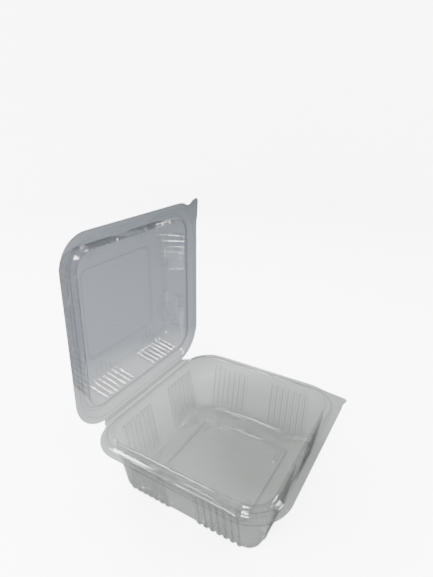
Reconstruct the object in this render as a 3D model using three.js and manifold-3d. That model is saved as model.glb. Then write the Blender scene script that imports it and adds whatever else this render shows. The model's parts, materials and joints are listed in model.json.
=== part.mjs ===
// A hinged food container thermoformed from one sheet of clear PET: a square tub, a shallow
// lid and the fold that joins them, with the lid standing open at a right angle.
// Millimetres, +Z up. X runs along the fold, the fold is at +Y and the opening tabs are at
// the front right corner. The origin is the centre of the flat panel that the tub stands on.

import * as THREE from 'three';
import Module from 'manifold-3d';

// Driving dimensions.
const WIDTH = 150;              // tub and lid, trim edge to trim edge along the fold
const LENGTH = 147;             // tub and lid, trim edge to trim edge from fold to front
const TRIM_RADIUS = 28.5;       // rounded corners of the trimmed flange
const SHEET = 0.5;              // sheet thickness
const TUB_FLOOR = 44;           // flange to floor ring, measured inside
const TUB_PANEL = 45;           // flange to the stepped floor panel the tub stands on
const LID_FLOOR = 24;           // lid flange to the ring round its panel
const LID_PANEL = 25;           // lid flange to the stepped lid panel
const FOLD_RISE = 0.8;          // fold line above the tub's flange
const FOLD_GAP = 0.3;           // free edge of lid and tub to the fold line
const OPEN_ANGLE = 89;          // lid angle from closed, degrees
const TUB_BACK_TRIM = 3.8;      // tub flange trimmed back beside the hinge strip
const STRIP_HALF_OUTER = 52.5;  // hinge strip half width at the fold
const STRIP_HALF_INNER = 56.2;  // and where it meets the tub's flange

// Stiffening grooves: two groups on every wall, running over the bottom edge.
const GROOVES_PER_GROUP = 7;
const GROOVE_FIRST = 13.3;      // wall centre to the first groove of a group
const GROOVE_PITCH = 5.04;
const GROOVE_CREST = 1.7;       // flat of the groove's bottom
const GROOVE_SHOULDER = 1.7;    // centre of an end groove to the plain wall
const GROOVE_WALL_DEPTH = 1.4;
const GROOVE_FLOOR_DEPTH = TUB_PANEL - TUB_FLOOR;
const GROOVE_LONGEST = 30.5;    // how far in from the trim edge the middle groove ends
const GROOVE_SHORTENING = 2.8;  // each next groove ends this much earlier
const GROOVE_RUNOUT = 1.5;

// Raised L-shaped marks in the corners of the tub's floor panel.
const BRACKET_CORNER = [37.2, 35.2];
const BRACKET_ARM = 16;
const BRACKET_WIDTH = 3.6;
const BRACKET_HEIGHT = 0.6;

// Opening tabs at the front right corner. A reach is counted out from the side trim edge, a
// setback in from the front trim edge.
const TUB_TAB = {
  sideReach: -2.3,
  sideSetback: 20,
  tipReach: -4.4,
  tipFront: 0.9,
  tipRadius: 3,
  dipStart: 12,
  dipEnd: 15.5,
  dipDepth: 0.9,
};
const LID_TAB = {
  sideReach: 1.4,
  sideSetback: 15.5,
  tipReach: 2.5,
  tipFront: 0.6,
  tipRadius: 3.2,
  dipStart: 9.5,
  dipEnd: 14.5,
  dipDepth: 3.2,
};
const TAB_START_ANGLE = 8;      // where a tab leaves the rounded corner and where it ends
const TAB_END_ANGLE = 78;
const TIP_STEPS = 4;

const CORNER_STEPS = 6;
const MITRE_LIMIT = 1.3;
const MERGE_OVERLAP = 2.5;      // how far a tab reaches into the flange it joins
const EDGE_OVERLAP = 0.8;       // the same for a plate joined along an edge

// A profile row: how far in from the trim edge, how deep below the flange (up for the lid),
// the corner radius there, and the depth of the grooves crossing it. A lobed row follows the
// rounded ends of the grooves on the floor instead of a straight line.
const row = (inset, depth, radius, groove = 0, lobe = null) => ({ inset, depth, radius, groove, lobe });

const TUB_RIM = [
  row(0, 0, TRIM_RADIUS),
  row(4.9, 0, 23.6),
  row(7.0, -1.9, 21.4),
  row(9.0, -3.5, 19.5),
  row(10.6, -3.8, 18),
  row(11.3, -3.0, 17.3),
];
const TUB_WALL = [
  row(12.0, 3.2, 16.0),
  row(12.4, 5.2, 15.6, GROOVE_WALL_DEPTH),
  row(17.6, TUB_FLOOR - 4.5, 10.4, GROOVE_WALL_DEPTH),
  row(18.6, TUB_FLOOR - 1.2, 9.6, GROOVE_WALL_DEPTH),
  row(20.4, TUB_FLOOR, 7.6, GROOVE_FLOOR_DEPTH),
  row(20.8, TUB_FLOOR, 7.2, GROOVE_FLOOR_DEPTH, -GROOVE_RUNOUT),
  row(22.1, TUB_FLOOR, 6, 0, 0),
];
const TUB_CENTRE = [
  row(34.8, TUB_FLOOR, 5.5),
  row(35.8, TUB_PANEL, 4.8),
];

const LID_RIM = [
  row(0, 0, TRIM_RADIUS),
  row(4.7, 0, 23.8),
  row(6.6, 2.6, 21.9),
  row(8.4, 4.3, 20),
  row(10.8, 4.5, 17.4),
  row(12.2, 3.4, 15.6),
  row(13.2, 0.9, 14),
  row(14.0, 0.7, 13.2),
];
const LID_WALL = [
  row(14.7, 1.9, 12.8),
  row(15.1, 3.6, 12.6, GROOVE_WALL_DEPTH),
  row(17.2, LID_FLOOR - 6, 10.4, GROOVE_WALL_DEPTH),
  row(18.4, LID_FLOOR - 2, 9.6, GROOVE_WALL_DEPTH),
  row(20.6, LID_FLOOR, 7.6, GROOVE_FLOOR_DEPTH),
  row(21.0, LID_FLOOR, 7.2, GROOVE_FLOOR_DEPTH, -GROOVE_RUNOUT),
  row(22.1, LID_FLOOR, 6, 0, 0),
];
const LID_CENTRE = [
  row(36.2, LID_FLOOR, 7),
  row(37.2, LID_PANEL, 6.4),
];

const SIDES = [
  { out: [1, 0], along: [0, 1], reach: WIDTH / 2, half: LENGTH / 2 },
  { out: [0, 1], along: [-1, 0], reach: LENGTH / 2, half: WIDTH / 2 },
  { out: [-1, 0], along: [0, -1], reach: WIDTH / 2, half: LENGTH / 2 },
  { out: [0, -1], along: [1, 0], reach: LENGTH / 2, half: WIDTH / 2 },
];

// Where a groove ends on the floor: the middle one of a group reaches furthest in.
function grooveEnd(index) {
  const fromMiddle = Math.abs(index - (GROOVES_PER_GROUP - 1) / 2);
  return GROOVE_LONGEST - GROOVE_SHORTENING * fromMiddle;
}

// Points across one wall: the two edges of each groove's flat, and the ridges between them.
function grooveStations() {
  const group = [];
  for (let i = 0; i < GROOVES_PER_GROUP; i += 1) {
    const centre = GROOVE_FIRST + i * GROOVE_PITCH;
    const end = grooveEnd(i);
    const before = i === 0 ? GROOVE_SHOULDER : GROOVE_PITCH / 2;
    const ridgeEnd = i === 0 ? end : (end + grooveEnd(i - 1)) / 2;
    group.push({ at: centre - before, share: 0, end: ridgeEnd });
    group.push({ at: centre - GROOVE_CREST / 2, share: 1, end });
    group.push({ at: centre + GROOVE_CREST / 2, share: 1, end });
    if (i === GROOVES_PER_GROUP - 1) {
      group.push({ at: centre + GROOVE_SHOULDER, share: 0, end });
    }
  }
  const mirrored = group.map((station) => ({ ...station, at: -station.at })).reverse();
  return [...mirrored, ...group];
}

const STATIONS = grooveStations();

// Unit normal of the profile at each row, pointing out of the container, with the mitre that
// keeps the sheet's thickness round a bend.
function profileNormals(rows) {
  const steps = rows.slice(1).map((next, i) => {
    const step = new THREE.Vector2(next.inset - rows[i].inset, next.depth - rows[i].depth);
    return step.lengthSq() > 0 ? step.normalize() : new THREE.Vector2(1, 0);
  });
  return rows.map((_, i) => {
    const before = steps[Math.max(i - 1, 0)];
    const after = steps[Math.min(i, steps.length - 1)];
    const mean = before.clone().add(after).normalize();
    const mitre = Math.min(1 / Math.max(mean.dot(after), 0.1), MITRE_LIMIT);
    return { inset: -mean.y, depth: mean.x, mitre };
  });
}

// One closed loop of points at a profile row, pushed out of the container by thickness.
// key grows round the loop, so that loops with and without groove points can be joined.
function loop(level, normal, thickness, grooved, backTrim = 0) {
  const points = [];
  const push = normal.mitre * thickness;
  const place = (side, along, inset, groove, key) => {
    const lift = push + groove;
    const reach = side.reach - inset - normal.inset * lift;
    points.push({
      x: side.out[0] * reach + side.along[0] * along,
      y: side.out[1] * reach + side.along[1] * along,
      depth: level.depth + normal.depth * lift,
      key,
    });
  };
  SIDES.forEach((side, s) => {
    const previous = SIDES[(s + 3) % 4];
    const inset = level.inset + normal.inset * push;
    const radius = Math.max(level.radius - normal.inset * push, 0.5);
    const trimmed = (face) => (face.out[1] === 1 ? backTrim : 0);
    for (let i = 0; i <= CORNER_STEPS; i += 1) {
      const turn = (i / CORNER_STEPS) * (Math.PI / 2);
      const out = side.reach - inset - trimmed(side) - radius + radius * Math.sin(turn);
      const back = previous.reach - inset - trimmed(previous) - radius + radius * Math.cos(turn);
      points.push({
        x: side.out[0] * out + previous.out[0] * back,
        y: side.out[1] * out + previous.out[1] * back,
        depth: level.depth + normal.depth * push,
        key: s + (0.4 * i) / CORNER_STEPS,
      });
    }
    if (grooved) {
      STATIONS.forEach((station) => {
        const lobed = level.lobe === null ? level.inset : Math.max(level.inset, station.end + level.lobe);
        const key = s + 0.45 + (0.5 * (station.at + side.half)) / (2 * side.half);
        place(side, station.at, lobed, level.groove * station.share, key);
      });
    }
  });
  return points;
}

// Joins two loops that may have different numbers of points, walking both by key.
function zip(outer, inner, triangles) {
  let a = 0;
  let b = 0;
  while (a < outer.length || b < inner.length) {
    const nextA = a < outer.length ? (outer[a + 1]?.key ?? 4) : Infinity;
    const nextB = b < inner.length ? (inner[b + 1]?.key ?? 4) : Infinity;
    const pointA = outer[a % outer.length];
    const pointB = inner[b % inner.length];
    if (a < outer.length && (nextA <= nextB || b >= inner.length)) {
      a += 1;
      triangles.push([pointA, outer[a % outer.length], pointB]);
    } else {
      b += 1;
      triangles.push([pointA, inner[b % inner.length], pointB]);
    }
  }
}

// Fills the flat ring between two loops at one depth, where a zip across the lobes would fold.
function fillRing(outer, inner, triangles) {
  const flat = (points) => points.map((point) => new THREE.Vector2(point.x, point.y));
  const corners = [...outer, ...inner];
  THREE.ShapeUtils.triangulateShape(flat(outer), [flat(inner)]).forEach((triangle) => {
    triangles.push(triangle.map((i) => corners[i]));
  });
}

// Closes the last loop with a fan about its middle.
function cap(last, triangles) {
  const middle = { x: 0, y: 0, depth: last[0].depth };
  last.forEach((point, i) => triangles.push([point, last[(i + 1) % last.length], middle]));
}

// The formed sheet as triangles: its inside face, its outside face and the trimmed edge.
function sheetTriangles(rim, wall, centre, backTrim) {
  const rows = [...rim, ...wall, ...centre];
  const normals = profileNormals(rows);
  const face = (thickness) => {
    const loops = rows.map((level, i) => {
      const grooved = i >= rim.length && i < rim.length + wall.length;
      return loop(level, normals[i], thickness, grooved, i === 0 ? backTrim : 0);
    });
    const triangles = [];
    const ringStart = rim.length + wall.length - 1;
    loops.slice(1).forEach((next, i) => {
      const join = i === ringStart ? fillRing : zip;
      join(loops[i], next, triangles);
    });
    cap(loops[loops.length - 1], triangles);
    return { edge: loops[0], triangles };
  };
  const inside = face(0);
  const outside = face(SHEET);
  const edge = [];
  zip(outside.edge, inside.edge, edge);
  const flipped = outside.triangles.map(([a, b, c]) => [a, c, b]);
  return [...inside.triangles, ...flipped, ...edge];
}

const wasm = await Module();
wasm.setup();

// A closed triangle list as a manifold-3d solid; its shared corners are merged by place.
function solidOf(triangles, toVector) {
  const index = new Map();
  const vertProperties = [];
  const triVerts = [];
  triangles.forEach((triangle) => {
    const corners = triangle.map((point) => {
      const v = toVector(point);
      const name = `${v.x.toFixed(4)},${v.y.toFixed(4)},${v.z.toFixed(4)}`;
      if (!index.has(name)) {
        index.set(name, index.size);
        vertProperties.push(v.x, v.y, v.z);
      }
      return index.get(name);
    });
    if (new Set(corners).size === 3) {
      triVerts.push(...corners);
    }
  });
  return new wasm.Manifold(new wasm.Mesh({
    numProp: 3,
    vertProperties: new Float32Array(vertProperties),
    triVerts: new Uint32Array(triVerts),
  }));
}

// A flat plate with the given outline, from one height up to another.
function plate(outline, bottom, top) {
  const shape = new THREE.Shape(outline.map(([x, y]) => new THREE.Vector2(x, y)));
  const geometry = new THREE.ExtrudeGeometry(shape, { depth: top - bottom, bevelEnabled: false });
  const place = geometry.getAttribute('position');
  const corner = (i) => ({ x: place.getX(i), y: place.getY(i), z: place.getZ(i) + bottom });
  const triangles = [];
  for (let i = 0; i < place.count; i += 3) {
    triangles.push([corner(i), corner(i + 1), corner(i + 2)]);
  }
  return solidOf(triangles, (point) => point);
}

function geometryOf(solid) {
  const mesh = solid.getMesh();
  const geometry = new THREE.BufferGeometry();
  const stride = mesh.numProp;
  const places = new Float32Array((mesh.vertProperties.length / stride) * 3);
  for (let i = 0; i < places.length / 3; i += 1) {
    places.set(mesh.vertProperties.subarray(i * stride, i * stride + 3), i * 3);
  }
  geometry.setAttribute('position', new THREE.BufferAttribute(places, 3));
  geometry.setIndex([...mesh.triVerts]);
  geometry.computeVertexNormals();
  return geometry;
}

// Points on an arc about a centre, angles in degrees.
function arc(cx, cy, radius, from, to, steps) {
  return Array.from({ length: steps + 1 }, (_, i) => {
    const angle = THREE.MathUtils.degToRad(from + ((to - from) * i) / steps);
    return [cx + radius * Math.cos(angle), cy + radius * Math.sin(angle)];
  });
}

// An opening tab squares the front right corner: it leaves the side edge, turns round the tip
// and comes back to the front edge through a shallow dip that parts it from the other tab.
function tabOutline(tab) {
  const front = -LENGTH / 2;
  const cornerX = WIDTH / 2 - TRIM_RADIUS;
  const cornerY = front + TRIM_RADIUS;
  const tipX = WIDTH / 2 + tab.tipReach - tab.tipRadius;
  const tipY = front - tab.tipFront + tab.tipRadius;
  return [
    ...arc(cornerX, cornerY, TRIM_RADIUS - MERGE_OVERLAP, -TAB_END_ANGLE, -TAB_START_ANGLE, CORNER_STEPS),
    [WIDTH / 2 - EDGE_OVERLAP, cornerY],
    [WIDTH / 2 + tab.sideReach, front + tab.sideSetback],
    ...arc(tipX, tipY, tab.tipRadius, 0, -90, TIP_STEPS),
    [WIDTH / 2 - tab.dipStart, front + tab.dipDepth],
    [WIDTH / 2 - tab.dipEnd, front + tab.dipDepth],
  ];
}

// The tub, built with its flange face at the height of its own depth, so that it stands on z = 0.
const FLANGE = TUB_PANEL + SHEET;
const FOLD_Y = LENGTH / 2 + FOLD_GAP;

function tubSolid() {
  const sheet = solidOf(
    sheetTriangles(TUB_RIM, TUB_WALL, TUB_CENTRE, TUB_BACK_TRIM),
    (point) => new THREE.Vector3(point.x, point.y, FLANGE - point.depth),
  );
  const flangeEdge = LENGTH / 2 - TUB_BACK_TRIM;
  const strip = plate([
    [-STRIP_HALF_INNER, flangeEdge - EDGE_OVERLAP],
    [STRIP_HALF_INNER, flangeEdge - EDGE_OVERLAP],
    [STRIP_HALF_INNER, flangeEdge],
    [STRIP_HALF_OUTER, FOLD_Y - FOLD_GAP],
    [-STRIP_HALF_OUTER, FOLD_Y - FOLD_GAP],
    [-STRIP_HALF_INNER, flangeEdge],
  ], FLANGE - SHEET, FLANGE);
  const tab = plate(tabOutline(TUB_TAB), FLANGE - SHEET, FLANGE);
  return brackets(sheet.add(strip).add(tab));
}

// An L of two arms with round ends, in the corner given by the signs of x and y.
function bracketOutline(signX, signY) {
  const half = BRACKET_WIDTH / 2;
  const reach = BRACKET_ARM - half;
  const [cornerX, cornerY] = BRACKET_CORNER;
  const outline = [
    [half, half],
    [half, -reach],
    ...arc(0, -reach, half, 0, -180, TIP_STEPS).slice(1, -1),
    [-half, -reach],
    [-half, -half],
    [-reach, -half],
    ...arc(-reach, 0, half, -90, -270, TIP_STEPS).slice(1, -1),
    [-reach, half],
  ];
  const turned = signX * signY > 0 ? outline : [...outline].reverse();
  return turned.map(([x, y]) => [signX * (cornerX - half + x), signY * (cornerY - half + y)]);
}

function brackets(tub) {
  const floor = FLANGE - TUB_PANEL;
  const signs = [[1, 1], [-1, 1], [-1, -1], [1, -1]];
  return signs.reduce((formed, [signX, signY]) => {
    const boss = plate(bracketOutline(signX, signY), floor - SHEET / 2, floor + BRACKET_HEIGHT);
    return formed.add(boss);
  }, tub);
}

// The lid, built closed with the fold line on the X axis and its flange running to -Y.
function lidSolid() {
  const middle = -FOLD_GAP - LENGTH / 2;
  const sheet = solidOf(
    sheetTriangles(LID_RIM, LID_WALL, LID_CENTRE, 0).map(([a, b, c]) => [a, c, b]),
    (point) => new THREE.Vector3(point.x, point.y + middle, point.depth),
  );
  const tab = plate(tabOutline(LID_TAB).map(([x, y]) => [x, y + middle]), 0, SHEET);
  return sheet.add(tab);
}

const clearPet = { color: 0xdfe6e6, roughness: 0.08, metalness: 0, transparent: true, opacity: 0.35 };

const tub = new THREE.Mesh(geometryOf(tubSolid()), new THREE.MeshStandardMaterial(clearPet));
tub.name = 'tub';

const lid = new THREE.Mesh(geometryOf(lidSolid()), new THREE.MeshStandardMaterial(clearPet));
lid.name = 'lid';

const lidOnFold = new THREE.Group();
lidOnFold.position.set(0, FOLD_Y, FLANGE + FOLD_RISE);
lidOnFold.rotation.x = THREE.MathUtils.degToRad(-OPEN_ANGLE);
lidOnFold.add(lid);

const container = new THREE.Group();
container.add(tub, lidOnFold);

export default container;
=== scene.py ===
"""A clear hinged food container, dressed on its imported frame.

The container is thermoformed from one sheet of PET: a square tub, a shallow lid and the
living hinge between them. Every new piece is a surface worked out with numpy on a grid: one
direction runs round the container, the other runs along the section of the formed sheet,
from its trimmed edge over the rim, down the wall and across the bottom to the middle.

Lengths in the classes are millimetres, as on a maker's drawing; the meshes are in metres.
"""

from __future__ import annotations

import json
import logging
import math
from dataclasses import dataclass, field
from enum import Enum
from typing import Callable, Sequence

import bpy
import numpy as np
from mathutils import Matrix, Vector


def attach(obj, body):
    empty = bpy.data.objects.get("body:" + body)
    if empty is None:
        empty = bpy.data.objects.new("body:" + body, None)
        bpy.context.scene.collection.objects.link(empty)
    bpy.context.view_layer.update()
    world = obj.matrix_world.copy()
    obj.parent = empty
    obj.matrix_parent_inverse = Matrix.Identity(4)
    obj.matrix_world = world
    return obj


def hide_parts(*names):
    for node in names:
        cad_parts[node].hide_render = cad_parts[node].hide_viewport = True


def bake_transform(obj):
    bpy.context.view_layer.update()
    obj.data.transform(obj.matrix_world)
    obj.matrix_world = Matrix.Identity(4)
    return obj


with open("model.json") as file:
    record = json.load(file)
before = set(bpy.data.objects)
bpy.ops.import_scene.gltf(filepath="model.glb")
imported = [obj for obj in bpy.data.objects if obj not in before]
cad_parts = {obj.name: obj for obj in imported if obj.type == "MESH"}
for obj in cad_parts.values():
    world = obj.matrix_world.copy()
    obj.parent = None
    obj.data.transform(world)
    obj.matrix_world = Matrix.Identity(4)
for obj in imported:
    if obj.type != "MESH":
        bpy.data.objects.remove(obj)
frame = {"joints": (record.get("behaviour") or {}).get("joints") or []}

LOG = logging.getLogger("container")
MM = 0.001
# Point attributes that tell the material where the sheet is creased, which it paints as shade, and where it
# has a grip.
CREASE_SHADE = "crease"
GRIP = "grip"
# Refractive index of PET.
PET_IOR = 1.57
# A wave texture turns through this many radians in a unit of length at a scale of 1.
WAVE_TURN = 20
# Numbers of the sockets of a node that mixes colours.
MIX_FACTOR, MIX_FIRST, MIX_SECOND, MIX_RESULT = 0, 6, 7, 2

Array = np.ndarray
Tree = bpy.types.NodeTree
Socket = bpy.types.NodeSocket


# ---- Small tools ----


def linear_colour(hex_colour: str) -> tuple[float, float, float, float]:
    """Turns an sRGB hex colour into the linear colour that a shader takes.

    Args:
        hex_colour: Six hex digits, such as "8fa3ad".

    Returns:
        Linear red, green and blue, and an alpha of 1.
    """
    parts = [int(hex_colour[i : i + 2], 16) / 255 for i in (0, 2, 4)]
    linear = [c / 12.92 if c <= 0.04045 else ((c + 0.055) / 1.055) ** 2.4 for c in parts]
    return (linear[0], linear[1], linear[2], 1.0)


def add_node(
    tree: Tree,
    kind: str,
    settings: dict[str | int, object] | None = None,
    links: dict[str | int, Socket] | None = None,
) -> bpy.types.Node:
    """Adds one shader node, sets its values and links its inputs.

    Args:
        tree: The node tree of a material or the world.
        kind: The node's type name, such as "ShaderNodeTexNoise".
        settings: Values by name; the name or number of an input socket sets that socket.
        links: Sockets of other nodes by the name or number of the input they feed.

    Returns:
        The new node.
    """
    node = tree.nodes.new(kind)
    for name, value in (settings or {}).items():
        if isinstance(name, int) or name in node.inputs:
            node.inputs[name].default_value = value
        else:
            setattr(node, name, value)
    for name, socket in (links or {}).items():
        tree.links.new(socket, node.inputs[name])
    return node


def rescaled(tree: Tree, value: Socket, low: float, high: float) -> Socket:
    """Turns a value between 0 and 1 into one between low and high."""
    limits = {"To Min": low, "To Max": high}
    return add_node(tree, "ShaderNodeMapRange", limits, {"Value": value}).outputs["Result"]


def combined(tree: Tree, operation: str, first: Socket, second: Socket) -> Socket:
    """Makes one value of two by a math operation, and keeps it between 0 and 1."""
    settings = {"operation": operation, "use_clamp": True}
    return add_node(tree, "ShaderNodeMath", settings, {0: first, 1: second}).outputs["Value"]


def start_material(name: str) -> tuple[bpy.types.Material, Tree, Socket]:
    """Makes a material that has no shader yet.

    Args:
        name: Name of the material.

    Returns:
        The material, its node tree and the coordinates of its object.
    """
    made = bpy.data.materials.new(name)
    made.use_nodes = True
    tree = made.node_tree
    tree.nodes.clear()
    return made, tree, add_node(tree, "ShaderNodeTexCoord").outputs["Object"]


def end_material(tree: Tree, settings: dict[str | int, object], links: dict[str | int, Socket]) -> None:
    """Gives a material its Principled surface, with these values and links, and its output."""
    surface = add_node(tree, "ShaderNodeBsdfPrincipled", settings, links)
    add_node(tree, "ShaderNodeOutputMaterial", None, {"Surface": surface.outputs["BSDF"]})


def smooth_step(x: Array) -> Array:
    """Rises smoothly from 0 at x = 0 to 1 at x = 1: three x squared less two x cubed."""
    t = np.clip(x, 0.0, 1.0)
    return t * t * (3.0 - 2.0 * t)


def grid_faces(rows: int, columns: int) -> Array:
    """Quads of a grid of points, counted row by row, in which each row closes on itself.

    Args:
        rows: Number of rows of points.
        columns: Number of points in a row.

    Returns:
        An array of four point indices for each quad.
    """
    i, j = np.meshgrid(np.arange(rows - 1) * columns, np.arange(columns), indexing="ij")
    k = (j + 1) % columns
    return np.stack([i + j, i + k, i + columns + k, i + columns + j], -1).reshape(-1, 4)


def fan_faces(first: int, count: int, hub: int) -> Array:
    """Triangles between a closed ring of points and the point in its middle.

    Args:
        first: Index of the ring's first point.
        count: Number of points in the ring.
        hub: Index of the point in the middle.

    Returns:
        An array of three point indices for each triangle.
    """
    j = np.arange(count)
    return np.stack([first + j, first + (j + 1) % count, np.full(count, hub)], axis=1)


def mesh_object(
    name: str,
    points: Array,
    quads: Array,
    fans: Array | None = None,
    values: dict[str, Array] | None = None,
) -> bpy.types.Object:
    """Makes a smooth-shaded mesh object at the origin from whole arrays.

    Args:
        name: The object's name.
        points: Places in metres, one row of x, y and z for each point.
        quads: Four point indices for each quad.
        fans: Three point indices for each triangle, if there are any.
        values: Point attributes for the materials, one number for each point, by name.

    Returns:
        The object, linked to the scene.
    """
    triangles = np.zeros((0, 3), int) if fans is None else fans
    mesh = bpy.data.meshes.new(name)
    mesh.vertices.add(len(points))
    mesh.vertices.foreach_set("co", points.astype(np.float32).ravel())
    corners = np.concatenate([quads.ravel(), triangles.ravel()]).astype(np.int32)
    totals = np.concatenate([np.full(len(quads), 4), np.full(len(triangles), 3)]).astype(np.int32)
    starts = np.concatenate([[0], np.cumsum(totals)[:-1]]).astype(np.int32)
    mesh.loops.add(len(corners))
    mesh.loops.foreach_set("vertex_index", corners)
    mesh.polygons.add(len(totals))
    mesh.polygons.foreach_set("loop_start", starts)
    mesh.polygons.foreach_set("loop_total", totals)
    mesh.polygons.foreach_set("use_smooth", np.ones(len(totals), bool))
    mesh.update(calc_edges=True)
    for attribute, numbers in (values or {}).items():
        layer = mesh.attributes.new(attribute, "FLOAT", "POINT")
        layer.data.foreach_set("value", numbers.astype(np.float32).ravel())
    made = bpy.data.objects.new(name, mesh)
    bpy.context.scene.collection.objects.link(made)
    return made


# ---- The formed sheet ----


@dataclass(frozen=True)
class Bend:
    """A bend in the section of the sheet.

    Attributes:
        inset: Distance in from the trimmed edge, in plan.
        depth: Distance from the flange into the cavity.
        corner: Radius of the rounded square there, in plan.
        ease: How far the rounding reaches along the sheet on each side of the bend.
        spacing: Distance between rows of points on the way to the next bend.
    """

    inset: float
    depth: float
    corner: float
    ease: float
    spacing: float = 100.0


@dataclass
class Section:
    """The section of the sheet as rows, from the trimmed edge to the edge of the middle panel.

    Attributes:
        bends: The bends in order.
        curve_steps: Pieces that each rounded bend is divided into.
        sharp_radius: Radius of a bend that is a full crease.
        least_reach: Shortest stretch of sheet that a row's turn is spread over.
        wall_share: Share of the greatest depth at which the wall gives way to the bottom.
        inset: Distance of each row from the trimmed edge, in plan.
        depth: Depth of each row.
        corner: Corner radius of each row.
        path: Distance of each row along the sheet.
        normal: Direction square to the sheet at each row, in inset and depth.
        crease: Crease of each row, from 0 to 1, which the material paints as shade. It follows the section's
            curvature.
    """

    bends: Sequence[Bend]
    curve_steps: int = 4
    sharp_radius: float = 0.6
    least_reach: float = 0.25
    wall_share: float = 0.9
    inset: Array = field(init=False)
    depth: Array = field(init=False)
    corner: Array = field(init=False)
    path: Array = field(init=False)
    normal: Array = field(init=False)
    crease: Array = field(init=False)

    def __post_init__(self) -> None:
        """Works out the rows, their distance along the sheet, their normals and their creases."""
        rows = self._rows()
        self.inset, self.depth, self.corner = rows.T
        steps = np.hypot(np.diff(self.inset), np.diff(self.depth))
        self.path = np.concatenate([[0.0], np.cumsum(steps)])
        along = np.gradient(rows[:, :2], self.path, axis=0)
        along /= np.linalg.norm(along, axis=1, keepdims=True)
        self.normal = np.stack([-along[:, 1], along[:, 0]], axis=1)
        # Each row's crease, painted as shade by the material, grows with how sharply the section turns there.
        heading = np.unwrap(np.arctan2(np.diff(self.depth), np.diff(self.inset)))
        turn = np.concatenate([[0.0], np.abs(np.diff(heading)), [0.0]])
        reach = np.concatenate([[1.0], (steps[:-1] + steps[1:]) / 2, [1.0]])
        self.crease = np.clip(self.sharp_radius * turn / np.maximum(reach, self.least_reach), 0.0, 1.0)

    def _rows(self) -> Array:
        """Rounds each bend with a quadratic curve and divides the straight stretches.

        Returns:
            One row of inset, depth and corner radius for each row of points.
        """
        corners = np.array([[b.inset, b.depth, b.corner] for b in self.bends])
        pieces: list[Array] = [corners[:1]]
        t = np.linspace(0.0, 1.0, self.curve_steps + 1)[:, None]
        for i in range(1, len(corners)):
            start = pieces[-1][-1]
            vertex = corners[i]
            back = (corners[i - 1] - vertex) / np.linalg.norm((corners[i - 1] - vertex)[:2])
            enter = vertex + back * self.bends[i].ease
            count = int(np.ceil(np.linalg.norm((enter - start)[:2]) / self.bends[i - 1].spacing))
            stretch = np.linspace(0.0, 1.0, max(count, 1) + 1)[1:, None]
            pieces.append(start + (enter - start) * stretch)
            if self.bends[i].ease > 0.0:
                ahead = (corners[i + 1] - vertex) / np.linalg.norm((corners[i + 1] - vertex)[:2])
                leave = vertex + ahead * self.bends[i].ease
                curve = (1 - t) ** 2 * enter + 2 * t * (1 - t) * vertex + t**2 * leave
                pieces.append(curve[1:])
        return np.concatenate(pieces)

    def path_at(self, inset: float) -> float:
        """Distance along the sheet at which the section is that far in, counted on the bottom."""
        return float(np.interp(inset, self.inset, self.path))

    def path_at_depth(self, depth: float) -> float:
        """Distance along the sheet at which the wall is that deep."""
        bottom = int(np.argmax(self.depth >= self.depth.max() * self.wall_share))
        top = int(np.nonzero(np.diff(self.depth[:bottom]) <= 0.0)[0][-1]) + 1
        return float(np.interp(depth, self.depth[top:bottom], self.path[top:bottom]))


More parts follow.
